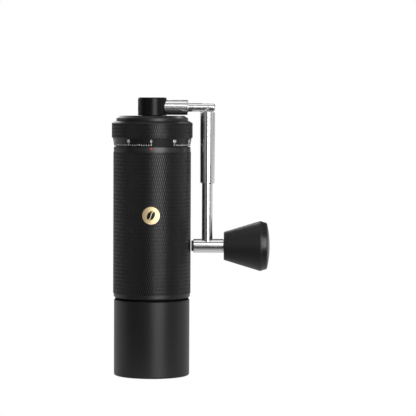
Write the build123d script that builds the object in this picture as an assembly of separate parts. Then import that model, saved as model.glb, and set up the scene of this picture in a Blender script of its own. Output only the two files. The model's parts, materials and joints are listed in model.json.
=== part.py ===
from build123d import *

import os
from math import cos, pi, sin

# Hand crank coffee grinder. Millimetres, +Z up. The origin is the centre of the cup's base, on the
# grinding axis. The badge and the dial's zero face -Y, and the folded crank arm hangs at +X.

# Outer shell ------------------------------------------------------------------------------------
BODY_R = 27.0
BODY_LOW_Z = 54.6
BODY_TOP_Z = 159.35
GRIP_LOW_Z = 57.5
GRIP_TOP_Z = 155.9
LOW_LIP_R = 26.6
TOP_LIP_R = 26.7
BORE_R = 24.6
SOCKET_R = 25.2
SOCKET_TOP_Z = 64.0

# Badge and index dot, on the front ----------------------------------------------------------------
BADGE_R = 6.05
BADGE_Z = 112.7
BADGE_FACE_R = 27.25
BADGE_SEAT_R = 26.2
BEAN_LENGTH = 7.2
BEAN_WIDTH = 5.0
BEAN_TILT = 35.0
INLAY_SEAT_R = 26.9
DOT_R = 0.6
DOT_Z = 158.4

# Catch cup ----------------------------------------------------------------------------------------
CUP_R = 26.35
CUP_INNER_R = 23.6
CUP_FLOOR_Z = 3.0
CUP_SHOULDER_Z = 53.1
CUP_NECK_R = 24.9
CUP_NECK_TOP_Z = 58.5
MAGNET_TOP_Z = 60.5
PAD_R = 21.0
PAD_THICK = 0.8

# Neck, dial and lid -------------------------------------------------------------------------------
NECK_R = 25.2
NECK_INNER_R = 22.6
NECK_LOW_Z = 150.0
NECK_TOP_Z = 177.4
DIAL_LOW_Z = 159.9
DIAL_STEP_Z = 165.6
DIAL_LOW_R = 26.5
DIAL_STEP_R = 27.45
RING_R = 28.1
RING_SHOULDER_Z = 175.9
RING_TOP_Z = 177.25
RING_TOP_R = 25.6
RING_BORE_R = 25.4
DETENT_R = 26.3
DETENT_LOW_Z = 168.0
DETENT_TOP_Z = 172.0
CLICKS = 100
LID_R = 24.95
LID_LOW_Z = 177.5
LID_EDGE_Z = 179.2
LID_TOP_Z = 180.9
LID_TOP_R = 22.15
PLUG_R = 22.35
PLUG_LOW_Z = 173.0

# Shaft, bearings and burrs ------------------------------------------------------------------------
SHAFT_R = 3.0
SHAFT_LOW_Z = 60.5
HEX_LOW_Z = 169.0
HEX_TOP_Z = 176.5
HEX_FLATS = 5.0
RUNNING_GAP = 0.03
BEARING_R = 7.5
BEARING_THICK = 5.0
LOWER_BEARING_Z = 90.0
UPPER_BEARING_Z = 161.0
BURR_LOW_Z = 66.0
BURR_TOP_Z = 84.0
OUTER_BURR_R = 22.55
OUTER_BURR_LOW_R = 20.4
OUTER_BURR_TOP_R = 15.5
BRIDGE_LOW_Z = 88.0
BRIDGE_TOP_Z = 97.0
SPRING_TOP_Z = 114.5
CARRIER_LOW_Z = 160.0
CARRIER_TOP_Z = 168.0
PIN_Z = 164.2
PIN_R = 0.9
ARM_ANGLES = (30.0, 150.0, 270.0)

# Crank --------------------------------------------------------------------------------------------
HUB_R = 10.0
HUB_LOW_Z = 181.1
HUB_TOP_Z = 193.6
BOSS_R = 7.0
BOSS_LOW_Z = 169.5
ARM_Z = 186.7
STUB_R = 5.2
STUB_END_X = 24.8
FORK_R = 3.0
FORK_END_X = 43.7
FORK_ROUND = 1.3
PIVOT_X = 38.5
TANG_THICK = 2.3
FORK_SLOT = 2.5
FOLD_PIN_R = 1.0

# Folding outer arm, measured from the pivot along the arm -------------------------------------------
TANG_REACH = 6.4
NECKED_R = 2.95
ROD_R = 3.85
ROD_SHOULDER = 39.8
SLEEVE_R = 5.1
SLEEVE_START = 3.3
SLEEVE_END = 52.8
SLEEVE_BORE_R = 3.92
MOUTH_CHAMFER = 0.95
GUIDE_START = 11.5
GUIDE_END = 13.5
CHAMBER_R = 4.2
CHAMBER_END = 45.0

# Spindle and knob ---------------------------------------------------------------------------------
SPINDLE_Z = 90.4
SPINDLE_R = 4.85
SPINDLE_LOW_X = 28.85
SPINDLE_HIGH_X = 49.9
TIP_X = 27.45
TIP_R = 3.75
AXLE_R = 3.5
AXLE_END_X = 76.0
KNOB_LOW_X = 50.1
KNOB_LOW_R = 9.9
KNOB_WIDE_X = 75.4
KNOB_WIDE_R = 17.5
KNOB_SEAM_X = 76.6
KNOB_RIM_X = 79.6
KNOB_RIM_R = 16.3
KNOB_END_X = 82.1


def turned(*corners):
    """A solid of revolution about Z from (radius, height) corners."""
    outline = Polyline(*[(radius, 0, height) for radius, height in corners], close=True)
    return revolve(make_face(outline), Axis.Z)


def ring(inner, outer, low, high):
    """A plain ring about Z."""
    return turned((inner, low), (outer, low), (outer, high), (inner, high))


def rod(radius, low, high):
    """A plain cylinder about Z."""
    return Pos(0, 0, (low + high) / 2) * Cylinder(radius, high - low)


def sector(inner, outer, low, high, middle, width):
    """A piece of a ring about Z, with its middle and width as angles in degrees."""
    corners = [(inner, 0, low), (outer, 0, low), (outer, 0, high), (inner, 0, high)]
    piece = revolve(make_face(Polyline(*corners, close=True)), Axis.Z, revolution_arc=width)
    return Rot(0, 0, middle - width / 2) * piece


def turned_about_spindle(*corners):
    """A solid of revolution about the spindle's axis from (x, radius) corners."""
    outline = Polyline(*[(x, 0, SPINDLE_Z + radius) for x, radius in corners], close=True)
    return revolve(make_face(outline), Axis((0, 0, SPINDLE_Z), (1, 0, 0)))


def rod_along_x(radius, low, high, height):
    """A plain cylinder along X at a height."""
    return Pos((low + high) / 2, 0, height) * Rot(0, 90, 0) * Cylinder(radius, high - low)


def rod_along_y(radius, low, high, x, height):
    """A plain cylinder along Y at a place and height."""
    return Pos(x, (low + high) / 2, height) * Rot(90, 0, 0) * Cylinder(radius, high - low)


def hex_prism(flats, low, high):
    """A hexagonal prism about Z, by its width across flats."""
    return extrude(Pos(0, 0, low) * RegularPolygon(flats / 2, 6, major_radius=False), high - low)


def spokes(inner, outer, width, low, high):
    """Three radial arms between two radii."""
    middle = (inner + outer) / 2
    arm = Pos(middle, 0, (low + high) / 2) * Box(outer - inner, width, high - low)
    return [Rot(0, 0, angle) * arm for angle in ARM_ANGLES]


def coil(radius, wire_r, low, high, turns):
    """A compression spring about Z, between two heights."""
    rise = high - low - 2 * wire_r
    path = Pos(0, 0, low + wire_r) * Helix(rise / turns, rise, radius)
    return sweep(Plane(path @ 0, z_dir=path % 0) * Circle(wire_r), path, is_frenet=True)


def ball_bearing(low):
    """A ball bearing about Z: two grooved races and seven balls."""
    high = low + BEARING_THICK
    middle = (low + high) / 2
    ball_r = 1.2
    track_r = 5.25
    track = Pos(0, 0, middle) * Torus(track_r, ball_r + 0.05)
    inner_race = ring(SHAFT_R + RUNNING_GAP, track_r - 0.8, low, high) - track
    outer_race = ring(track_r + 0.8, BEARING_R, low, high) - track
    balls = [Rot(0, 0, 360 * i / 7) * Pos(track_r, 0, middle) * Sphere(ball_r) for i in range(7)]
    return inner_race + outer_race + balls


def on_front(radius, height):
    """A tool that marks a round patch on the front of the shell."""
    return rod_along_y(radius, -BODY_R - 3, -BODY_R + 4, 0, height)


# Body ---------------------------------------------------------------------------------------------
def body_tube():
    shell = turned(
        (SOCKET_R, BODY_LOW_Z),
        (LOW_LIP_R - 0.7, BODY_LOW_Z),
        (LOW_LIP_R, BODY_LOW_Z + 0.7),
        (LOW_LIP_R, GRIP_LOW_Z),
        (BODY_R, GRIP_LOW_Z),
        (BODY_R, GRIP_TOP_Z),
        (TOP_LIP_R, GRIP_TOP_Z),
        (TOP_LIP_R, BODY_TOP_Z - 0.3),
        (TOP_LIP_R - 0.3, BODY_TOP_Z),
        (BORE_R, BODY_TOP_Z),
        (BORE_R, SOCKET_TOP_Z),
        (SOCKET_R, SOCKET_TOP_Z),
    )
    badge_pocket = on_front(BADGE_R + 0.05, BADGE_Z) - rod(BADGE_SEAT_R, BADGE_Z - 10, BADGE_Z + 10)
    dot_pocket = on_front(DOT_R, DOT_Z) - rod(BADGE_SEAT_R, DOT_Z - 2, DOT_Z + 2)
    return shell - badge_pocket - dot_pocket


def bean_halves():
    """A coffee bean's outline, split along its curved crease, as a tool through the front."""
    half = BEAN_LENGTH / 2
    wave = Spline((0, -half - 0.4), (0.55, -half / 2), (0, 0), (-0.55, half / 2), (0, half + 0.4))
    crease = trace(wave, line_width=0.55)
    bean = Ellipse(BEAN_WIDTH / 2, half) - crease
    facing = Plane((0, -BODY_R - 3, BADGE_Z), x_dir=(1, 0, 0), z_dir=(0, -1, 0))
    return extrude(facing * Rot(0, 0, -BEAN_TILT) * bean, -6)


def badge():
    shell = ring(BADGE_SEAT_R, BADGE_FACE_R, BADGE_Z - 8, BADGE_Z + 8)
    seat = ring(INLAY_SEAT_R, BODY_R + 1, BADGE_Z - 8, BADGE_Z + 8)
    return (shell & on_front(BADGE_R, BADGE_Z)) - (seat & bean_halves())


def badge_inlay():
    return ring(INLAY_SEAT_R, BADGE_FACE_R - 0.06, BADGE_Z - 8, BADGE_Z + 8) & bean_halves()


def index_dot():
    return on_front(DOT_R, DOT_Z) & ring(BADGE_SEAT_R, TOP_LIP_R + 0.05, DOT_Z - 2, DOT_Z + 2)


def threaded_neck():
    neck = turned(
        (NECK_INNER_R, NECK_LOW_Z),
        (BORE_R, NECK_LOW_Z),
        (BORE_R, BODY_TOP_Z),
        (NECK_R, BODY_TOP_Z),
        (NECK_R, NECK_TOP_Z),
        (NECK_INNER_R, NECK_TOP_Z),
    )
    pin_slot = Pos(NECK_R - 1, 0, PIN_Z - 0.9) * Box(8, 2 * PIN_R + 0.6, 2 * PIN_R + 2.4)
    slots = [Rot(0, 0, angle) * pin_slot for angle in ARM_ANGLES]
    clip_groove = ring(24.8, NECK_R + 1, 174.9, 175.7)
    click_pocket = sector(24.1, NECK_R + 1, 168.0, 171.2, 90, 48)
    return neck - slots - clip_groove - click_pocket


def ring_clip():
    return sector(24.85, 25.75, 175.0, 175.6, 270, 338)


def click_spring():
    leaf = sector(24.3, 24.7, 168.4, 170.8, 90, 42)
    nub = Rot(0, 0, 90) * Pos(24.65, 0, 169.6) * Cylinder(0.5, 2.4)
    return leaf + nub


def hopper_liner():
    return ring(23.4, BORE_R - 0.1, BRIDGE_TOP_Z, NECK_LOW_Z)


def bearing_bridge():
    rim = ring(23.2, BORE_R - 0.1, BRIDGE_LOW_Z, BRIDGE_TOP_Z)
    hub = rod(BEARING_R + 2.0, BRIDGE_LOW_Z, BRIDGE_TOP_Z)
    arms = spokes(BEARING_R, 24.0, 5.0, BRIDGE_LOW_Z, BRIDGE_TOP_Z)
    seat = rod(BEARING_R, BRIDGE_LOW_Z - 1, LOWER_BEARING_Z + BEARING_THICK)
    clearance = rod(SHAFT_R + 1.5, BRIDGE_LOW_Z - 1, BRIDGE_TOP_Z + 1)
    return rim + hub + arms - seat - clearance


def lower_bearing():
    return ball_bearing(LOWER_BEARING_Z)


def burr_carrier():
    return turned(
        (OUTER_BURR_R, SOCKET_TOP_Z),
        (BORE_R - 0.1, SOCKET_TOP_Z),
        (BORE_R - 0.1, BRIDGE_LOW_Z),
        (21.0, BRIDGE_LOW_Z),
        (OUTER_BURR_TOP_R + 0.2, BURR_TOP_Z),
        (OUTER_BURR_R, BURR_TOP_Z),
    )


def outer_burr_radius(height):
    """Radius of the outer burr's grinding cone at a height."""
    share = (height - BURR_LOW_Z) / (BURR_TOP_Z - BURR_LOW_Z)
    return OUTER_BURR_LOW_R + share * (OUTER_BURR_TOP_R - OUTER_BURR_LOW_R)


def outer_burr():
    blank = turned(
        (OUTER_BURR_LOW_R, BURR_LOW_Z),
        (OUTER_BURR_R, BURR_LOW_Z),
        (OUTER_BURR_R, BURR_TOP_Z),
        (OUTER_BURR_TOP_R, BURR_TOP_Z),
    )
    teeth = 24
    lean = 12.0
    middle_z = (BURR_LOW_Z + BURR_TOP_Z) / 2 + 2
    tooth_gap = Pos(outer_burr_radius(middle_z), 0, middle_z) * Rot(lean, -15.2, 0) * Rot(0, 0, 45)
    cutter = tooth_gap * Box(0.9, 0.9, 26)
    return blank - [Rot(0, 0, 360 * i / teeth) * cutter for i in range(teeth)]


def burr_retainer():
    body = ring(20.9, OUTER_BURR_R, SOCKET_TOP_Z + 0.2, BURR_LOW_Z)
    notch = Pos(21.6, 0, SOCKET_TOP_Z + 0.5) * Box(3, 2.4, 1.2)
    return body - [Rot(0, 0, angle) * notch for angle in ARM_ANGLES]


def keeper_ring():
    return ring(22.8, SOCKET_R, 61.0, SOCKET_TOP_Z)


def spring_washer():
    return ring(SHAFT_R + 0.4, 6.4, BRIDGE_TOP_Z, BRIDGE_TOP_Z + 0.5)


def preload_spring():
    return coil(4.6, 0.5, BRIDGE_TOP_Z + 0.5, SPRING_TOP_Z, 7)


# Dial ---------------------------------------------------------------------------------------------
def adjust_ring():
    solid = turned(
        (RING_BORE_R, DIAL_LOW_Z),
        (DIAL_LOW_R - 0.3, DIAL_LOW_Z),
        (DIAL_LOW_R, DIAL_LOW_Z + 0.3),
        (DIAL_STEP_R, DIAL_STEP_Z),
        (RING_R - 0.2, DIAL_STEP_Z),
        (RING_R, DIAL_STEP_Z + 0.2),
        (RING_R, RING_SHOULDER_Z),
        (RING_TOP_R, RING_TOP_Z),
        (RING_BORE_R, RING_TOP_Z),
    )
    thread_relief = ring(RING_BORE_R - 1, 25.95, PIN_Z - 3.3, PIN_Z + 1.3)
    detent_seat = ring(RING_BORE_R - 1, DETENT_R, DETENT_LOW_Z, DETENT_TOP_Z)
    clip_groove = ring(RING_BORE_R - 1, 25.95, 174.7, 175.9)
    return solid - thread_relief - detent_seat - clip_groove


def detent_ring():
    """A ring with one click notch for each mark on the dial."""
    corners = []
    for step in range(2 * CLICKS):
        radius = RING_BORE_R if step % 2 else RING_BORE_R + 0.35
        angle = pi * step / CLICKS
        corners.append((radius * cos(angle), radius * sin(angle)))
    notches = make_face(Polyline(*corners, close=True))
    band = Circle(DETENT_R) - notches
    return extrude(Pos(0, 0, DETENT_LOW_Z) * band, DETENT_TOP_Z - DETENT_LOW_Z)


# Feed carriage --------------------------------------------------------------------------------------
def feed_carrier():
    rim = ring(20.6, NECK_INNER_R - 0.3, CARRIER_LOW_Z, CARRIER_TOP_Z)
    hub = rod(BEARING_R + 2.0, CARRIER_LOW_Z, CARRIER_TOP_Z)
    arms = spokes(BEARING_R, 21.2, 4.0, CARRIER_LOW_Z, CARRIER_TOP_Z)
    seat = rod(BEARING_R, UPPER_BEARING_Z, CARRIER_TOP_Z + 1)
    clearance = rod(BEARING_R - 1.5, CARRIER_LOW_Z - 1, CARRIER_TOP_Z + 1)
    solid = rim + hub + arms - seat - clearance
    return solid - feed_pins()


def feed_pins():
    pin = rod_along_x(PIN_R, 14.0, 25.75, PIN_Z)
    return Part() + [Rot(0, 0, angle) * pin for angle in ARM_ANGLES]


def upper_bearing():
    return ball_bearing(UPPER_BEARING_Z)


# Drive shaft --------------------------------------------------------------------------------------
def drive_shaft():
    shank = rod(SHAFT_R, SHAFT_LOW_Z, HEX_LOW_Z)
    return shank + hex_prism(HEX_FLATS, HEX_LOW_Z, HEX_TOP_Z)


def inner_burr():
    blank = turned(
        (SHAFT_R, BURR_LOW_Z),
        (20.0, BURR_LOW_Z),
        (19.9, BURR_LOW_Z + 0.6),
        (19.0, 70.0),
        (14.0, 80.0),
        (8.5, 86.5),
        (SHAFT_R, 86.5),
    )
    flutes = 7
    flute = Pos(14.2, 0, 81.0) * Rot(24, -33, 0) * Rot(0, 0, 45) * Box(4.6, 4.6, 26)
    teeth = 28
    tooth_gap = Pos(19.95, 0, 67.0) * Rot(18, -13, 0) * Rot(0, 0, 45) * Box(1.0, 1.0, 10)
    coarse = [Rot(0, 0, 360 * i / flutes) * flute for i in range(flutes)]
    fine = [Rot(0, 0, 360 * i / teeth) * tooth_gap for i in range(teeth)]
    return blank - coarse - fine


def burr_washer():
    return ring(SHAFT_R, 6.5, BURR_LOW_Z - 1.0, BURR_LOW_Z)


def burr_nut():
    return hex_prism(8.0, BURR_LOW_Z - 4.5, BURR_LOW_Z - 1.0) - rod(SHAFT_R, 60, 66)


def shaft_clips():
    heights = (SPRING_TOP_Z, UPPER_BEARING_Z - 0.8, UPPER_BEARING_Z + BEARING_THICK)
    return Part() + [sector(SHAFT_R, 5.6, low, low + 0.8, 90, 290) for low in heights]


# Lid ------------------------------------------------------------------------------------------------
def lid_disc():
    solid = turned(
        (9.05, PLUG_LOW_Z),
        (PLUG_R - 0.4, PLUG_LOW_Z),
        (PLUG_R, PLUG_LOW_Z + 0.4),
        (PLUG_R, LID_LOW_Z),
        (LID_R, LID_LOW_Z),
        (LID_R, LID_EDGE_Z),
        (LID_TOP_R, LID_TOP_Z),
        (9.05, LID_TOP_Z),
    )
    hollow = ring(11.5, 19.5, PLUG_LOW_Z - 1, 178.6)
    seal_groove = ring(21.2, PLUG_R + 1, 174.4, 176.4)
    return solid - hollow - seal_groove


def lid_bushing():
    sleeve = ring(BOSS_R + 0.07, 9.05, PLUG_LOW_Z, LID_TOP_Z)
    flange = ring(BOSS_R + 0.07, 10.8, PLUG_LOW_Z - 1.0, PLUG_LOW_Z)
    return sleeve + flange


def lid_seal():
    return turned((21.2, 174.4), (21.9, 174.4), (22.45, 175.4), (21.9, 176.4), (21.2, 176.4))


# Crank ----------------------------------------------------------------------------------------------
def crank_hub():
    solid = turned(
        (0, BOSS_LOW_Z),
        (BOSS_R, BOSS_LOW_Z),
        (BOSS_R, HUB_LOW_Z),
        (HUB_R - 0.25, HUB_LOW_Z),
        (HUB_R, HUB_LOW_Z + 0.25),
        (HUB_R, HUB_TOP_Z - 0.7),
        (HUB_R - 0.7, HUB_TOP_Z),
        (0, HUB_TOP_Z),
    )
    socket = hex_prism(HEX_FLATS + 0.16, BOSS_LOW_Z - 1, 178.6)
    arm_bore = rod_along_x(STUB_R, 2.0, HUB_R + 1, ARM_Z)
    screw_bore = rod_along_x(2.0, -HUB_R - 1, 3.0, ARM_Z)
    head_bore = rod_along_x(3.6, -HUB_R - 1, -5.6, ARM_Z)
    clip_groove = ring(6.2, BOSS_R + 1, 170.4, 171.4)
    return solid - socket - arm_bore - screw_bore - head_bore - clip_groove


def hub_clip():
    return sector(6.2, 8.6, 170.45, 171.35, 180, 300)


def pivot_cylinder(radius, half_width):
    """A cylinder on the fold pivot's axis, along Y."""
    return rod_along_y(radius, -half_width, half_width, PIVOT_X, ARM_Z)


def arm_stub():
    shank = rod_along_x(STUB_R, 2.0, STUB_END_X, ARM_Z)
    shank = chamfer(shank.edges().sort_by(Axis.X)[-1], 0.4)
    fork = rod_along_x(FORK_R, STUB_END_X - 2, FORK_END_X, ARM_Z)
    fork = fillet(fork.edges().sort_by(Axis.X)[-1], FORK_ROUND)
    slot_low_x = PIVOT_X - NECKED_R - 0.6
    slot_length = FORK_END_X + 1 - slot_low_x
    slot = Pos(slot_low_x + slot_length / 2, 0, ARM_Z) * Box(slot_length, FORK_SLOT, 2 * FORK_R + 1)
    thread = rod_along_x(2.0, 0.0, 12.0, ARM_Z)
    return shank + fork - slot - pivot_cylinder(FOLD_PIN_R, FORK_R + 1) - thread


def arm_screw():
    shank = rod_along_x(2.0, -5.6, 11.8, ARM_Z)
    head = rod_along_x(3.5, -9.9, -5.6, ARM_Z)
    key = Pos(-9.9, 0, ARM_Z) * Rot(0, 90, 0) * hex_prism(3.0, -1, 2.5)
    return shank + head - key


def fold_pin():
    return pivot_cylinder(FOLD_PIN_R, FORK_R)


# Outer arm --------------------------------------------------------------------------------------------
def at_arm(shape):
    """Moves a shape built about Z, with the pivot at zero, onto the folded arm."""
    return Pos(PIVOT_X, 0, ARM_Z) * shape


def outer_rod():
    tang_bar = Pos(0, 0, -(TANG_REACH + 1) / 2) * Box(2 * NECKED_R, TANG_THICK, TANG_REACH + 1)
    tang_eye = Rot(90, 0, 0) * Cylinder(NECKED_R, TANG_THICK)
    necked = rod(NECKED_R, -ROD_SHOULDER, -TANG_REACH)
    foot = SPINDLE_Z - ARM_Z - SPINDLE_R + 2.0
    thick = rod(ROD_R, foot, -ROD_SHOULDER)
    pin_hole = Rot(90, 0, 0) * Cylinder(FOLD_PIN_R + 0.05, 4)
    tang = (tang_bar & rod(NECKED_R, -TANG_REACH - 1, 0)) + tang_eye
    return at_arm(tang + necked + thick - pin_hole)


def spindle():
    bar = turned_about_spindle(
        (SPINDLE_LOW_X, 0),
        (SPINDLE_LOW_X, SPINDLE_R - 0.3),
        (SPINDLE_LOW_X + 0.3, SPINDLE_R),
        (SPINDLE_HIGH_X - 0.3, SPINDLE_R),
        (SPINDLE_HIGH_X, SPINDLE_R - 0.3),
        (SPINDLE_HIGH_X, 0),
    )
    rod_bore = Pos(PIVOT_X, 0, 0) * rod(ROD_R, SPINDLE_Z - SPINDLE_R + 2.0, SPINDLE_Z + 10)
    tip_bore = rod_along_x(2.6, SPINDLE_LOW_X - 1, 34.0, SPINDLE_Z)
    axle_bore = rod_along_x(2.5, 43.5, SPINDLE_HIGH_X + 1, SPINDLE_Z)
    return bar - rod_bore - tip_bore - axle_bore


def bumper_tip():
    button = turned_about_spindle(
        (TIP_X, 0), (TIP_X, TIP_R - 0.4), (TIP_X + 0.4, TIP_R), (SPINDLE_LOW_X, TIP_R), (SPINDLE_LOW_X, 0)
    )
    return button + rod_along_x(2.6, SPINDLE_LOW_X, 30.8, SPINDLE_Z)


def tip_magnet():
    return rod_along_x(2.6, 30.8, 33.8, SPINDLE_Z)


def knob_axle():
    thread = rod_along_x(2.5, 43.6, SPINDLE_HIGH_X, SPINDLE_Z)
    journal = rod_along_x(AXLE_R, SPINDLE_HIGH_X, AXLE_END_X, SPINDLE_Z)
    tapped = rod_along_x(1.25, AXLE_END_X - 8, AXLE_END_X, SPINDLE_Z)
    return thread + journal - tapped


def knob_screw():
    head = rod_along_x(5.0, AXLE_END_X, AXLE_END_X + 1.8, SPINDLE_Z)
    return head + rod_along_x(1.25, AXLE_END_X - 7, AXLE_END_X, SPINDLE_Z)


def lock_spring():
    return at_arm(coil(3.55, 0.22, -ROD_SHOULDER, -GUIDE_END, 9))


def lock_sleeve():
    return at_arm(turned(
        (SLEEVE_BORE_R + MOUTH_CHAMFER, -SLEEVE_START),
        (SLEEVE_R, -SLEEVE_START),
        (SLEEVE_R, -SLEEVE_END + 0.7),
        (SLEEVE_R - 0.7, -SLEEVE_END),
        (SLEEVE_BORE_R, -SLEEVE_END),
        (SLEEVE_BORE_R, -CHAMBER_END),
        (CHAMBER_R, -CHAMBER_END),
        (CHAMBER_R, -GUIDE_END),
        (NECKED_R + 0.08, -GUIDE_END),
        (NECKED_R + 0.08, -GUIDE_START),
        (SLEEVE_BORE_R, -GUIDE_START),
        (SLEEVE_BORE_R, -SLEEVE_START - MOUTH_CHAMFER),
    ))


# Knob -------------------------------------------------------------------------------------------------
def knob_grip():
    return turned_about_spindle(
        (KNOB_LOW_X, 5.0),
        (KNOB_LOW_X, KNOB_LOW_R - 0.3),
        (KNOB_LOW_X + 0.3, KNOB_LOW_R),
        (KNOB_WIDE_X, KNOB_WIDE_R),
        (KNOB_SEAM_X, KNOB_WIDE_R - 0.33),
        (KNOB_SEAM_X, 7.0),
        (74.2, 7.0),
        (74.2, 5.0),
    )


def knob_bushes():
    bush = rod_along_x(5.0, 0, 8.0, SPINDLE_Z) - rod_along_x(AXLE_R + 0.06, -1, 9.0, SPINDLE_Z)
    return Part() + [Pos(x, 0, 0) * bush for x in (KNOB_LOW_X, 66.2)]


def knob_cap():
    rim_end = (80.3, 15.6)
    flank = Polyline((KNOB_SEAM_X, 17.1), (KNOB_RIM_X, KNOB_RIM_R), rim_end)
    dome = TangentArc((KNOB_END_X, 0), rim_end, tangent=(0, 1))
    core = Polyline((KNOB_END_X, 0), (79.0, 0), (79.0, 6.9), (KNOB_SEAM_X, 6.9), (KNOB_SEAM_X, 17.1))
    half = make_face(Curve() + [flank, dome, core])
    upright = Plane((0, 0, SPINDLE_Z), x_dir=(1, 0, 0), z_dir=(0, -1, 0))
    return revolve(upright * half, Axis((0, 0, SPINDLE_Z), (1, 0, 0)))


# Catch cup ----------------------------------------------------------------------------------------------
def catch_cup():
    solid = turned(
        (0, 0),
        (CUP_R, 0),
        (CUP_R, CUP_SHOULDER_Z - 0.4),
        (CUP_R - 0.4, CUP_SHOULDER_Z),
        (CUP_NECK_R, CUP_SHOULDER_Z),
        (CUP_NECK_R, CUP_NECK_TOP_Z),
        (CUP_INNER_R, CUP_NECK_TOP_Z),
        (CUP_INNER_R, CUP_FLOOR_Z + 2.0),
        (CUP_INNER_R - 2.0, CUP_FLOOR_Z),
        (0, CUP_FLOOR_Z),
    )
    bottom_edge = solid.edges().filter_by(GeomType.CIRCLE).sort_by(Axis.Z)[0]
    return fillet(bottom_edge, 1.2) - rod(PAD_R, -1, PAD_THICK)


def base_pad():
    return rod(PAD_R, 0, PAD_THICK)


def cup_seal():
    return ring(CUP_NECK_R, 25.6, CUP_SHOULDER_Z, BODY_LOW_Z - 0.2)


def cup_magnet_ring():
    return ring(CUP_INNER_R, CUP_NECK_R, CUP_NECK_TOP_Z, MAGNET_TOP_Z)


SUB_PARTS = (
    body_tube, badge, badge_inlay, index_dot, threaded_neck, ring_clip, click_spring, hopper_liner,
    bearing_bridge, lower_bearing, burr_carrier, outer_burr, burr_retainer, keeper_ring,
    spring_washer, preload_spring,
    adjust_ring, detent_ring,
    feed_carrier, feed_pins, upper_bearing,
    drive_shaft, inner_burr, burr_washer, burr_nut, shaft_clips,
    lid_disc, lid_bushing, lid_seal,
    crank_hub, hub_clip, arm_stub, arm_screw, fold_pin,
    outer_rod, spindle, bumper_tip, tip_magnet, knob_axle, knob_screw, lock_spring,
    lock_sleeve,
    knob_grip, knob_bushes, knob_cap,
    catch_cup, base_pad, cup_seal, cup_magnet_ring,
)


def main():
    os.makedirs("parts", exist_ok=True)
    for make in SUB_PARTS:
        export_step(make(), f"parts/{make.__name__}.step")


main()
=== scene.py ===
import json
import math

import bpy
from mathutils import Matrix, Vector


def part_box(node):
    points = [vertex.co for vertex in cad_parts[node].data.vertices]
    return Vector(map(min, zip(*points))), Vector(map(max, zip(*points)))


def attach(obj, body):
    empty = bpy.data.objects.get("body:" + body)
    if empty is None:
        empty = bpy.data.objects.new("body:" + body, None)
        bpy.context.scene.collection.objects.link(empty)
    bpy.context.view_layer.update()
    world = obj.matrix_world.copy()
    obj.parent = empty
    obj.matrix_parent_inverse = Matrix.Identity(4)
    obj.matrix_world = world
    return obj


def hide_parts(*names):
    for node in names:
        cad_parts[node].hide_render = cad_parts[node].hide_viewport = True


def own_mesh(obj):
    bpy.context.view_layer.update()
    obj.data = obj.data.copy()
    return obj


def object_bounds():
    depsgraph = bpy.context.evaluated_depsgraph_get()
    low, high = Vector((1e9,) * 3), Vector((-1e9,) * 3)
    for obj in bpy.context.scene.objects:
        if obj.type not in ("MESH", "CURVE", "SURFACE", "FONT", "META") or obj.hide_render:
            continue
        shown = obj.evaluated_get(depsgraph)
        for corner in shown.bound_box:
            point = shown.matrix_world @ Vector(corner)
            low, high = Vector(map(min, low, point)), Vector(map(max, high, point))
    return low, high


MM = 0.001

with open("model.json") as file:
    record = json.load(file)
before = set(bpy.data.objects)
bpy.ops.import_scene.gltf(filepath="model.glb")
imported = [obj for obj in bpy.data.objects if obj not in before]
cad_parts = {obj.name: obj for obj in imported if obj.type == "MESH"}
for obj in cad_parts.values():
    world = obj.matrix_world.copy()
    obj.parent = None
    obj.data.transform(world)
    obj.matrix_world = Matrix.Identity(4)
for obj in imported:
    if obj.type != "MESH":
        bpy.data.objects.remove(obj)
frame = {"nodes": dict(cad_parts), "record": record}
cad_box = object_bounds()

# Sizes read from the frame ----------------------------------------------------------------------
TUBE_LOW, TUBE_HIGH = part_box("body_tube")
RING_LOW, RING_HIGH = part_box("adjust_ring")
BODY_R = TUBE_HIGH[0]
RING_R = RING_HIGH[0]
HEIGHT = cad_box[1][2]

# Shape of the turned shells, the same as their CAD solids but for the knurl ------------------------
LIP_DROP = 0.4 * MM
TOP_LIP_DROP = 0.3 * MM
LOW_BAND = 2.9 * MM
TOP_BAND = 3.45 * MM
LIP_CHAMFER = 0.7 * MM
LIP_ROUND = 0.3 * MM
LIP_ROUND_SHARE = 0.3  # how far in the middle point of the lip's rounding lies
KNURL_RUN_OUT = 0.05 * MM  # slope between the knurl and the plain lip
BORE_R = 24.6 * MM
SOCKET_R = 25.2 * MM
SOCKET_DEPTH = 9.4 * MM
DIAL_HEIGHT = 5.7 * MM
DIAL_LOW_R = 26.5 * MM
DIAL_STEP_R = 27.45 * MM
RING_BORE_R = 25.4 * MM
RING_TOP_R = 25.6 * MM
RING_SHOULDER = 1.35 * MM
RING_TOP_EDGE_OUT = 0.15 * MM
RING_TOP_EDGE_DROP = 0.04 * MM
RING_BAND_LOW = 0.2 * MM
RING_BAND_TOP = 0.15 * MM
DIAL_EDGE = 0.3 * MM

# Knurl --------------------------------------------------------------------------------------------
KNURL_STARTS = 120
KNURL_DEPTH = 0.18 * MM
KNURL_FLAT = 0.72  # half width of a diamond's flat top, where 1 leaves no groove
KNURL_ROWS_BODY = 38
KNURL_ROWS_RING = 4

# Dial print ---------------------------------------------------------------------------------------
DIAL_MARKS = 100  # places round the dial, of which those after the last mark stay blank
LAST_MARK = 90
MARK_WIDTH = 0.36 * MM
MARK_LOW = 0.45 * MM
MARK_HEIGHTS = {1: 0.95 * MM, 5: 1.25 * MM, 10: 1.7 * MM}  # every mark, every fifth, every tenth
PRINT_LIFT = 0.03 * MM
DIGIT_HEIGHT = 1.95 * MM
DIGIT_MIDDLE = 3.65 * MM
DIGIT_SHARE_OF_FONT = 0.7
DIGIT_BOLDNESS = 0.02
DIGIT_CURVE_STEPS = 4

# Finishes -----------------------------------------------------------------------------------------
ANODISED_BLACK = ((0.0045, 0.0045, 0.005), (0.0065, 0.0065, 0.007))  # darkest and lightest
DRIFT_SCALE = 90.0
GRAIN_DEPTH = 0.02 * MM

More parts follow.
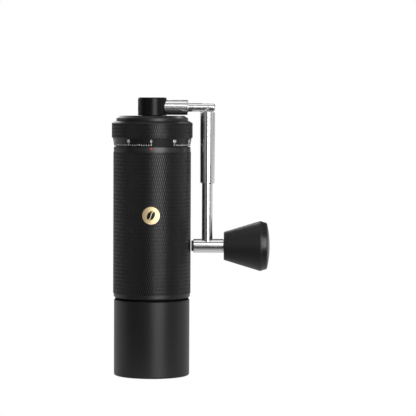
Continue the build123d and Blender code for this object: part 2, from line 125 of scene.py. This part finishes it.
# Springs ------------------------------------------------------------------------------------------
PRELOAD_WIRE_R = 0.5 * MM
PRELOAD_TURNS = 7
LOCK_WIRE_R = 0.22 * MM
LOCK_TURNS = 9

# Mesh detail --------------------------------------------------------------------------------------
PLAIN, FLAT, GROOVE = 0, 1, 2  # finish numbers of a shell's faces
SHARP_EDGE = 28.0  # degrees
SHARP_WIRE_END = 60.0
COIL_STEPS = 32  # to a turn
WIRE_SIDES = 10

# Light --------------------------------------------------------------------------------------------
ROOM_LIGHT = 0.14
FLOOR_HALF = 6.0
FLOOR_FRONT = 0.06  # glow of the floor before the object
FLOOR_BACK = 0.65  # and behind it
FLOOR_FADE = (-0.13, 0.0)  # from and to this Y
SOFTBOXES = {
    # azimuth and elevation in degrees, distance and (width, height) in metres, radiance
    "key_light": (22, 12, 1.3, (0.7, 1.5), 6.2),
    "left_front_light": (-36, 5, 1.3, (0.7, 1.4), 0.16),
    "front_top_light": (6, 40, 1.3, (0.6, 0.22), 2.2),
    "right_light": (74, 5, 1.2, (0.8, 1.4), 0.46),
    "back_right_light": (132, 5, 1.2, (1.2, 1.4), 0.28),
    "back_left_light": (-122, 5, 1.2, (1.3, 1.4), 0.25),
    "rear_light": (-168, 24, 1.3, (0.45, 0.6), 3.0),
    "top_light": (0, 88, 1.4, (1.0, 1.0), 0.9),
}

# View ---------------------------------------------------------------------------------------------
CAMERA_PLACE = (0.039, -1.5, 0.192)
CAMERA_LENS = 186.5
SENSOR_WIDTH = 36.0
CAMERA_DOWN = 2.87  # degrees
CAMERA_ROLL = 0.25


def put(name, data):
    """Adds an object that holds the given mesh, curve, light or camera to the scene."""
    thing = bpy.data.objects.new(name, data)
    bpy.context.collection.objects.link(thing)
    return thing


# Camera -------------------------------------------------------------------------------------------
def make_camera():
    data = bpy.data.cameras.new("camera")
    data.sensor_width = SENSOR_WIDTH
    data.lens = CAMERA_LENS
    camera = put("camera", data)
    tilt = Matrix.Rotation(math.radians(90.0 - CAMERA_DOWN), 4, "X")
    roll = Matrix.Rotation(math.radians(CAMERA_ROLL), 4, "Z")
    camera.matrix_world = Matrix.Translation(CAMERA_PLACE) @ tilt @ roll
    bpy.context.scene.camera = camera


# Materials ----------------------------------------------------------------------------------------
def new_material(name):
    material = bpy.data.materials.new(name)
    material.use_nodes = True
    shader = material.node_tree.nodes["Principled BSDF"]
    return material, material.node_tree, shader


def add(tree, kind, **settings):
    node = tree.nodes.new(kind)
    for key, value in settings.items():
        if key in node.inputs:
            node.inputs[key].default_value = value
        else:
            setattr(node, key, value)
    return node


def texture(tree, kind, stretch=(1, 1, 1), **settings):
    """A 3-D texture in object space, stretched along the axes."""
    place = add(tree, "ShaderNodeTexCoord")
    scale = add(tree, "ShaderNodeMapping")
    scale.inputs["Scale"].default_value = stretch
    node = add(tree, kind, **settings)
    tree.links.new(place.outputs["Object"], scale.inputs["Vector"])
    tree.links.new(scale.outputs["Vector"], node.inputs["Vector"])
    return node


def spread(tree, source, low, high, target):
    """Maps a 0 to 1 value onto a range and links it to a socket."""
    node = add(tree, "ShaderNodeMapRange")
    node.inputs["To Min"].default_value = low
    node.inputs["To Max"].default_value = high
    tree.links.new(source, node.inputs["Value"])
    tree.links.new(node.outputs["Result"], target)


def tint(tree, source, dark, light, target):
    """Maps a 0 to 1 value onto two colours and links it to a socket."""
    ramp = add(tree, "ShaderNodeValToRGB")
    ramp.color_ramp.elements[0].color = (*dark, 1)
    ramp.color_ramp.elements[1].color = (*light, 1)
    tree.links.new(source, ramp.inputs["Fac"])
    tree.links.new(ramp.outputs["Color"], target)


def bump(tree, source, strength, distance, shader):
    node = add(tree, "ShaderNodeBump")
    node.inputs["Strength"].default_value = strength
    node.inputs["Distance"].default_value = distance
    tree.links.new(source, node.inputs["Height"])
    tree.links.new(node.outputs["Normal"], shader.inputs["Normal"])


def surface(name, dark, light, rough, metallic=0.0, gloss=0.5, grain=9000.0, stretch=(1, 1, 1), relief=0.15):
    """A procedural finish: fine grain in bump and roughness over a slow drift of colour."""
    material, tree, shader = new_material(name)
    shader.inputs["Metallic"].default_value = metallic
    shader.inputs["Specular IOR Level"].default_value = gloss
    drift = texture(tree, "ShaderNodeTexNoise", Scale=DRIFT_SCALE, Detail=3.0)
    tint(tree, drift.outputs["Fac"], dark, light, shader.inputs["Base Color"])
    fine = texture(tree, "ShaderNodeTexNoise", stretch, Scale=grain, Detail=2.0)
    spread(tree, fine.outputs["Fac"], *rough, shader.inputs["Roughness"])
    bump(tree, fine.outputs["Fac"], relief, GRAIN_DEPTH, shader)
    return material


def black_anodised():
    return surface("black_anodised", *ANODISED_BLACK, (0.34, 0.42))


def knurl_flats():
    return surface("knurl_flats", *ANODISED_BLACK, (0.34, 0.42), gloss=0.6)


def knurl_grooves():
    """Duller than the flats, so that the knurl reads as a net of dark lines; the duller gloss is the grooves'
    own finish, and their slightly darker colour is painted shade in the recesses.
    """
    return surface("knurl_grooves", (0.004, 0.004, 0.0045), (0.0055, 0.0055, 0.006), (0.42, 0.5), gloss=0.15)


def hub_black():
    return surface("hub_black", (0.003, 0.003, 0.0032), (0.0045, 0.0045, 0.005), (0.26, 0.34), gloss=0.2)


def polished_steel():
    return surface("polished_steel", (0.80, 0.80, 0.81), (0.85, 0.85, 0.86), (0.176, 0.186),
                   metallic=1.0, grain=2600.0, relief=0.0003)


def gold_plate():
    return surface("gold_plate", (0.84, 0.64, 0.36), (0.92, 0.73, 0.45), (0.42, 0.5),
                   metallic=1.0, grain=6000.0, stretch=(1, 1, 12), relief=0.12)


def black_enamel():
    return surface("black_enamel", (0.006, 0.006, 0.007), (0.01, 0.01, 0.011), (0.14, 0.22), relief=0.03)


def red_enamel():
    return surface("red_enamel", (0.62, 0.012, 0.012), (0.72, 0.02, 0.016), (0.25, 0.35), relief=0.05)


def black_moulding():
    return surface("black_moulding", (0.006, 0.006, 0.0065), (0.009, 0.009, 0.0095), (0.40, 0.52),
                   grain=3500.0, relief=0.35)


def knob_end_black():
    return surface("knob_end_black", (0.008, 0.008, 0.0085), (0.011, 0.011, 0.0115), (0.26, 0.34),
                   grain=6000.0, relief=0.1)


def silicone():
    return surface("silicone", (0.012, 0.012, 0.013), (0.02, 0.02, 0.021), (0.55, 0.7),
                   grain=2500.0, relief=0.4)


def seal_black():
    """Soft black rubber, dull, with its colour darkened far below the silicone finish as painted shade, so
    that the gap between cup and body stays dark.
    """
    return surface("seal_black", (0.001, 0.001, 0.001), (0.002, 0.002, 0.002), (0.7, 0.8),
                   gloss=0.05, grain=2500.0)


def machined_aluminium():
    return surface("machined_aluminium", (0.66, 0.67, 0.68), (0.74, 0.75, 0.76), (0.25, 0.4),
                   metallic=1.0, grain=5000.0, stretch=(1, 1, 9), relief=0.2)


def burr_steel():
    return surface("burr_steel", (0.48, 0.48, 0.5), (0.6, 0.6, 0.61), (0.22, 0.38),
                   metallic=1.0, grain=4000.0, stretch=(1, 1, 4), relief=0.25)


def spring_steel():
    return surface("spring_steel", (0.4, 0.4, 0.42), (0.52, 0.52, 0.53), (0.2, 0.32),
                   metallic=1.0, relief=0.1)


def dark_steel():
    return surface("dark_steel", (0.06, 0.06, 0.065), (0.09, 0.09, 0.095), (0.32, 0.45), metallic=1.0)


def acetal():
    return surface("acetal", (0.72, 0.72, 0.70), (0.80, 0.80, 0.78), (0.35, 0.45), relief=0.1)


def liner_plastic():
    return surface("liner_plastic", (0.03, 0.03, 0.032), (0.04, 0.04, 0.042), (0.4, 0.5), relief=0.2)


def bronze():
    return surface("bronze", (0.42, 0.27, 0.13), (0.55, 0.37, 0.2), (0.35, 0.5),
                   metallic=1.0, grain=2500.0, relief=0.3)


def magnet_nickel():
    return surface("magnet_nickel", (0.5, 0.49, 0.46), (0.58, 0.57, 0.54), (0.14, 0.22),
                   metallic=1.0, relief=0.05)


def dial_print():
    return surface("dial_print", (0.86, 0.86, 0.86), (0.92, 0.92, 0.92), (0.4, 0.5), relief=0.1)


# The finish of each material slot in the record.
FINISHES = {
    "black_anodised": black_anodised(),
    "gold_plate": gold_plate(),
    "black_enamel": black_enamel(),
    "red_enamel": red_enamel(),
    "machined_aluminium": machined_aluminium(),
    "spring_steel": spring_steel(),
    "bearing_steel": polished_steel(),
    "burr_steel": burr_steel(),
    "polished_steel": polished_steel(),
    "dark_steel": dark_steel(),
    "acetal": acetal(),
    "liner_plastic": liner_plastic(),
    "silicone": silicone(),
    "bronze_bush": bronze(),
    "black_moulding": black_moulding(),
    "magnet": magnet_nickel(),
}

# Nodes that look different from the rest of their slot.
OWN_FINISHES = {
    "knob_cap": knob_end_black(),
    "crank_hub": hub_black(),
    # the seal's near-black colour is painted shade for the gap between cup and body
    "cup_seal": seal_black(),
}

# Finishes that only the pieces made here wear.
DIAL_PRINT = dial_print()
KNURL_FLATS = knurl_flats()
KNURL_GROOVES = knurl_grooves()


def finish_cad_nodes():
    """Gives every CAD node the finish of its material slot, or its own."""
    slots = {part["node"]: part["material_slot"] for part in frame["record"]["subparts"]}
    for name, node in frame["nodes"].items():
        for place in node.material_slots:
            place.material = OWN_FINISHES.get(name, FINISHES[slots[name]])


# Mesh building --------------------------------------------------------------------------------------
class Shell:
    """Collects rings of vertices about Z, the faces between them and each face's finish."""

    def __init__(self):
        self.vertices = []
        self.faces = []
        self.finishes = []

    def face(self, corners, finish=PLAIN):
        self.faces.append(corners)
        self.finishes.append(finish)

    def point(self, radius, turn, height):
        """Adds one vertex; turn is in whole turns."""
        angle = 2 * math.pi * turn
        self.vertices.append((radius * math.cos(angle), radius * math.sin(angle), height))
        return len(self.vertices) - 1

    def ring(self, radius, height, turns):
        return [self.point(radius, turn, height) for turn in turns]

    def skin(self, lower, upper):
        """Faces between two rings of the same count, facing out when upper lies above lower."""
        count = len(lower)
        for i in range(count):
            j = (i + 1) % count
            self.face((lower[i], lower[j], upper[j], upper[i]))

    def chain(self, start, profile, turns):
        """Skins a run of (radius, height) rings on from a ring, and returns the last one."""
        for radius, height in profile:
            following = self.ring(radius, height, turns)
            self.skin(start, following)
            start = following
        return start

    def build(self, name, materials):
        """Makes the mesh; the materials are for plain faces, knurl flats and knurl grooves."""
        mesh = bpy.data.meshes.new(name)
        mesh.from_pydata(self.vertices, [], self.faces)
        mesh.shade_smooth()
        mesh.set_sharp_from_angle(angle=math.radians(SHARP_EDGE))
        for material in materials:
            mesh.materials.append(material)
        mesh.polygons.foreach_set("material_index", self.finishes)
        return put(name, mesh)


def knurl(shell, radius, depth, low, high, starts, rows):
    """A band of flat-topped diamonds over an even number of rows.

    Grooves cross where column + row is even, and a diamond is centred where it is odd. Returns the
    lowest and highest rings and the turns of their vertices, three to each start.
    """
    floor_r = radius - depth
    columns = 2 * starts
    pitch = (high - low) / rows
    grooves = {}
    for row in range(rows + 1):
        for column in range(row % 2, columns, 2):
            grooves[column, row] = shell.point(floor_r, column / columns, low + row * pitch)
    edge = {0: [], rows: []}
    for row in range(rows + 1):
        for column in range(1 - row % 2, columns, 2):
            around = [grooves[(column - 1) % columns, row]]
            top = [shell.point(radius, (column - KNURL_FLAT) / columns, low + row * pitch)]
            if row > 0:
                around.append(grooves[column, row - 1])
                top.append(shell.point(radius, column / columns, low + (row - KNURL_FLAT) * pitch))
            around.append(grooves[(column + 1) % columns, row])
            top.append(shell.point(radius, (column + KNURL_FLAT) / columns, low + row * pitch))
            if row < rows:
                around.append(grooves[column, row + 1])
                top.append(shell.point(radius, column / columns, low + (row + KNURL_FLAT) * pitch))
            shell.face(tuple(top), FLAT)
            count = len(top)
            for k in range(count):
                following = (k + 1) % count
                along_edge = row == 0 and k == 0 or row == rows and k == count - 1
                if not along_edge:
                    shell.face((around[k], around[following], top[following], top[k]), GROOVE)
            if row == 0:
                edge[row] += [around[0], top[0], top[1]]
            if row == rows:
                edge[row] += [around[0], top[0], top[2]]
    turns = []
    for column in range(1, columns, 2):
        turns += [(column - 1) / columns, (column - KNURL_FLAT) / columns, (column + KNURL_FLAT) / columns]
    return edge[0], edge[rows], turns


# Pieces ---------------------------------------------------------------------------------------------
def knurled_body():
    shell = Shell()
    grip_low = TUBE_LOW[2] + LOW_BAND
    grip_high = TUBE_HIGH[2] - TOP_BAND
    low, high, turns = knurl(shell, BODY_R, KNURL_DEPTH, grip_low, grip_high, KNURL_STARTS, KNURL_ROWS_BODY)
    lip_r = BODY_R - LIP_DROP
    top_lip_r = BODY_R - TOP_LIP_DROP
    bottom = TUBE_LOW[2]
    top = TUBE_HIGH[2]
    last = shell.chain(high, [
        (top_lip_r, grip_high + KNURL_RUN_OUT),
        (top_lip_r, top - LIP_ROUND),
        (top_lip_r - LIP_ROUND_SHARE * LIP_ROUND, top - LIP_ROUND_SHARE * LIP_ROUND),
        (top_lip_r - LIP_ROUND, top),
        (BORE_R, top),
        (BORE_R, bottom + SOCKET_DEPTH),
        (SOCKET_R, bottom + SOCKET_DEPTH),
        (SOCKET_R, bottom),
        (lip_r - LIP_CHAMFER, bottom),
        (lip_r, bottom + LIP_CHAMFER),
        (lip_r, grip_low - KNURL_RUN_OUT),
    ], turns)
    shell.skin(last, low)
    piece = shell.build("body_shell", [KNURL_FLATS, KNURL_FLATS, KNURL_GROOVES])
    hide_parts("body_tube")
    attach(piece, "body")


def knurled_dial():
    shell = Shell()
    step = RING_LOW[2] + DIAL_HEIGHT
    top = RING_HIGH[2]
    grip_low = step + RING_BAND_LOW
    grip_high = top - RING_SHOULDER - RING_BAND_TOP
    low, high, turns = knurl(shell, RING_R, KNURL_DEPTH, grip_low, grip_high, KNURL_STARTS, KNURL_ROWS_RING)
    last = shell.chain(high, [
        (RING_R - KNURL_DEPTH, top - RING_SHOULDER),
        (RING_TOP_R + RING_TOP_EDGE_OUT, top - RING_TOP_EDGE_DROP),
        (RING_TOP_R, top),
        (RING_BORE_R, top),
        (RING_BORE_R, RING_LOW[2]),
        (DIAL_LOW_R - DIAL_EDGE, RING_LOW[2]),
        (DIAL_LOW_R, RING_LOW[2] + DIAL_EDGE),
        (DIAL_STEP_R, step),
        (RING_R - KNURL_DEPTH, step),
    ], turns)
    shell.skin(last, low)
    piece = shell.build("dial_shell", [FINISHES["black_anodised"], FINISHES["black_anodised"], KNURL_GROOVES])
    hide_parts("adjust_ring")
    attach(piece, "dial")


def cone_point(turn, rise, lift=PRINT_LIFT):
    """A point on the dial's cone at a height above the dial's lower edge, lifted off the surface."""
    share = (rise - DIAL_EDGE) / (DIAL_HEIGHT - DIAL_EDGE)
    radius = DIAL_LOW_R + share * (DIAL_STEP_R - DIAL_LOW_R) + lift
    angle = 2 * math.pi * turn
    return (radius * math.cos(angle), radius * math.sin(angle), RING_LOW[2] + rise)


def mark_turn(mark):
    """Where a mark stands: zero at the front, and rising clockwise as seen from above."""
    return 0.75 - mark / DIAL_MARKS


def printed(name, vertices, faces):
    """A flat print on the dial's cone, from vertices as (turn, rise) pairs."""
    count = len(vertices)
    points = [cone_point(turn, rise) for turn, rise in vertices]
    points += [cone_point(turn, rise, -PRINT_LIFT) for turn, rise in vertices]
    sides = []
    edges = {}
    for face in faces:
        for a, b in zip(face, face[1:] + face[:1]):
            edges[a, b] = True
    for a, b in edges:
        if (b, a) not in edges:
            sides.append((a, a + count, b + count, b))
    back = [tuple(reversed([i + count for i in face])) for face in faces]
    mesh = bpy.data.meshes.new(name)
    mesh.from_pydata(points, [], [tuple(face) for face in faces] + back + sides)
    mesh.materials.append(DIAL_PRINT)
    piece = put(name, mesh)
    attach(piece, "dial")


def dial_marks():
    vertices = []
    faces = []
    half = MARK_WIDTH / 2 / (2 * math.pi * DIAL_LOW_R)
    for mark in range(LAST_MARK + 1):
        kind = 10 if mark % 10 == 0 else 5 if mark % 5 == 0 else 1
        top = MARK_LOW + MARK_HEIGHTS[kind]
        turn = mark_turn(mark)
        first = len(vertices)
        vertices += [(turn - half, MARK_LOW), (turn + half, MARK_LOW), (turn + half, top), (turn - half, top)]
        faces.append([first, first + 1, first + 2, first + 3])
    printed("dial_marks", vertices, faces)


def digit_outline(text):
    """Flat vertices and faces of a number, centred, in metres."""
    curve = bpy.data.curves.new("digits", "FONT")
    curve.body = text
    curve.size = DIGIT_HEIGHT / DIGIT_SHARE_OF_FONT
    curve.offset = DIGIT_BOLDNESS * DIGIT_HEIGHT
    curve.align_x = "CENTER"
    curve.resolution_u = DIGIT_CURVE_STEPS
    holder = put("digits", curve)
    mesh = bpy.data.meshes.new_from_object(holder)
    flat = [(v.co.x, v.co.y) for v in mesh.vertices]
    faces = [list(face.vertices) for face in mesh.polygons]
    bpy.data.objects.remove(holder)
    bpy.data.meshes.remove(mesh)
    return flat, faces


def dial_numbers():
    vertices = []
    faces = []
    round_r = 2 * math.pi * DIAL_STEP_R
    rise = DIGIT_MIDDLE - DIGIT_HEIGHT / 2
    for mark in range(0, LAST_MARK + 1, 10):
        flat, outline = digit_outline(str(mark))
        first = len(vertices)
        vertices += [(mark_turn(mark) + x / round_r, rise + y) for x, y in flat]
        faces += [[first + i for i in face] for face in outline]
    printed("dial_numbers", vertices, faces)


def coil_mesh(name, low, high, wire_r, turns):
    """A round wire wound about Z, with closed ends, that fills a box from corner to corner."""
    middle = ((low[0] + high[0]) / 2, (low[1] + high[1]) / 2)
    coil_r = (high[0] - low[0]) / 2 - wire_r
    rise = high[2] - low[2] - 2 * wire_r
    steps = turns * COIL_STEPS
    vertices = []
    for i in range(steps + 1):
        angle = 2 * math.pi * i / COIL_STEPS
        height = low[2] + wire_r + rise * i / steps
        for k in range(WIRE_SIDES):
            around = 2 * math.pi * k / WIRE_SIDES
            radius = coil_r + wire_r * math.cos(around)
            vertices.append((
                middle[0] + radius * math.cos(angle),
                middle[1] + radius * math.sin(angle),
                height + wire_r * math.sin(around),
            ))
    faces = [tuple(range(WIRE_SIDES)), tuple(reversed(range(steps * WIRE_SIDES, (steps + 1) * WIRE_SIDES)))]
    for i in range(steps):
        for k in range(WIRE_SIDES):
            a = i * WIRE_SIDES + k
            b = i * WIRE_SIDES + (k + 1) % WIRE_SIDES
            faces.append((a, a + WIRE_SIDES, b + WIRE_SIDES, b))
    mesh = bpy.data.meshes.new(name)
    mesh.from_pydata(vertices, [], faces)
    mesh.shade_smooth()
    mesh.set_sharp_from_angle(angle=math.radians(SHARP_WIRE_END))
    return mesh


def coil_spring(name, node, wire_r, turns, body):
    """A coil that stands for a CAD spring, filling the spring's box, and rides with the given body."""
    low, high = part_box(node)
    mesh = coil_mesh(name, low, high, wire_r, turns)
    mesh.materials.append(FINISHES["spring_steel"])
    piece = put(name, mesh)
    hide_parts(node)
    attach(piece, body)
    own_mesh(piece)


# Stage and light ------------------------------------------------------------------------------------
def softbox(name, azimuth, elevation, distance, size, radiance):
    """An even rectangle of light. Azimuth turns to the camera's right from the front, in degrees."""
    data = bpy.data.lights.new(name, "AREA")
    data.shape = "RECTANGLE"
    data.size, data.size_y = size
    data.energy = radiance * math.pi * size[0] * size[1]
    light = put(name, data)
    turn, rise = math.radians(azimuth), math.radians(elevation)
    outward = Vector((math.sin(turn) * math.cos(rise), -math.cos(turn) * math.cos(rise), math.sin(rise)))
    light.location = Vector((0, 0, HEIGHT / 2)) + outward * distance
    light.rotation_euler = (-outward).to_track_quat("-Z", "Y").to_euler()
    light.visible_camera = False


def white_to_the_eye(tree, lit, kind, output):
    """White where the camera looks, as a cut-out background is, and lit where light and gloss reach."""
    white = add(tree, kind)
    white.inputs["Color"].default_value = (1, 1, 1, 1)
    path = add(tree, "ShaderNodeLightPath")
    mix = add(tree, "ShaderNodeMixShader")
    tree.links.new(path.outputs["Is Camera Ray"], mix.inputs[0])
    tree.links.new(lit.outputs[0], mix.inputs[1])
    tree.links.new(white.outputs[0], mix.inputs[2])
    tree.links.new(mix.outputs[0], tree.nodes[output].inputs["Surface"])


def white_floor():
    mesh = bpy.data.meshes.new("floor")
    far = FLOOR_HALF
    corners = [(-far, -far, 0), (far, -far, 0), (far, far, 0), (-far, far, 0)]
    mesh.from_pydata(corners, [], [(0, 1, 2, 3)])
    floor = put("floor", mesh)
    material, tree, shader = new_material("floor_white")
    tree.nodes.remove(shader)
    place = add(tree, "ShaderNodeTexCoord")
    depth = add(tree, "ShaderNodeSeparateXYZ")
    fade = add(tree, "ShaderNodeMapRange")
    fade.inputs["From Min"].default_value, fade.inputs["From Max"].default_value = FLOOR_FADE
    fade.inputs["To Min"].default_value = FLOOR_FRONT
    fade.inputs["To Max"].default_value = FLOOR_BACK
    lit = add(tree, "ShaderNodeEmission")
    tree.links.new(place.outputs["Object"], depth.inputs["Vector"])
    tree.links.new(depth.outputs["Y"], fade.inputs["Value"])
    tree.links.new(fade.outputs["Result"], lit.inputs["Strength"])
    white_to_the_eye(tree, lit, "ShaderNodeEmission", "Material Output")
    mesh.materials.append(material)


def studio_world():
    world = bpy.data.worlds.new("studio")
    world.use_nodes = True
    tree = world.node_tree
    dim = tree.nodes["Background"]
    dim.inputs["Color"].default_value = (1, 1, 1, 1)
    dim.inputs["Strength"].default_value = ROOM_LIGHT
    white_to_the_eye(tree, dim, "ShaderNodeBackground", "World Output")
    bpy.context.scene.world = world


def light_studio():
    """One tall key right of the camera, dim fills around the object, and strips behind and above it."""
    for name, settings in SOFTBOXES.items():
        softbox(name, *settings)


make_camera()
finish_cad_nodes()
knurled_body()
knurled_dial()
dial_marks()
dial_numbers()
coil_spring("preload_coil", "preload_spring", PRELOAD_WIRE_R, PRELOAD_TURNS, "body")
coil_spring("lock_coil", "lock_spring", LOCK_WIRE_R, LOCK_TURNS, "outer_arm")
white_floor()
studio_world()
light_studio()

bpy.context.scene.view_settings.view_transform = "Standard"
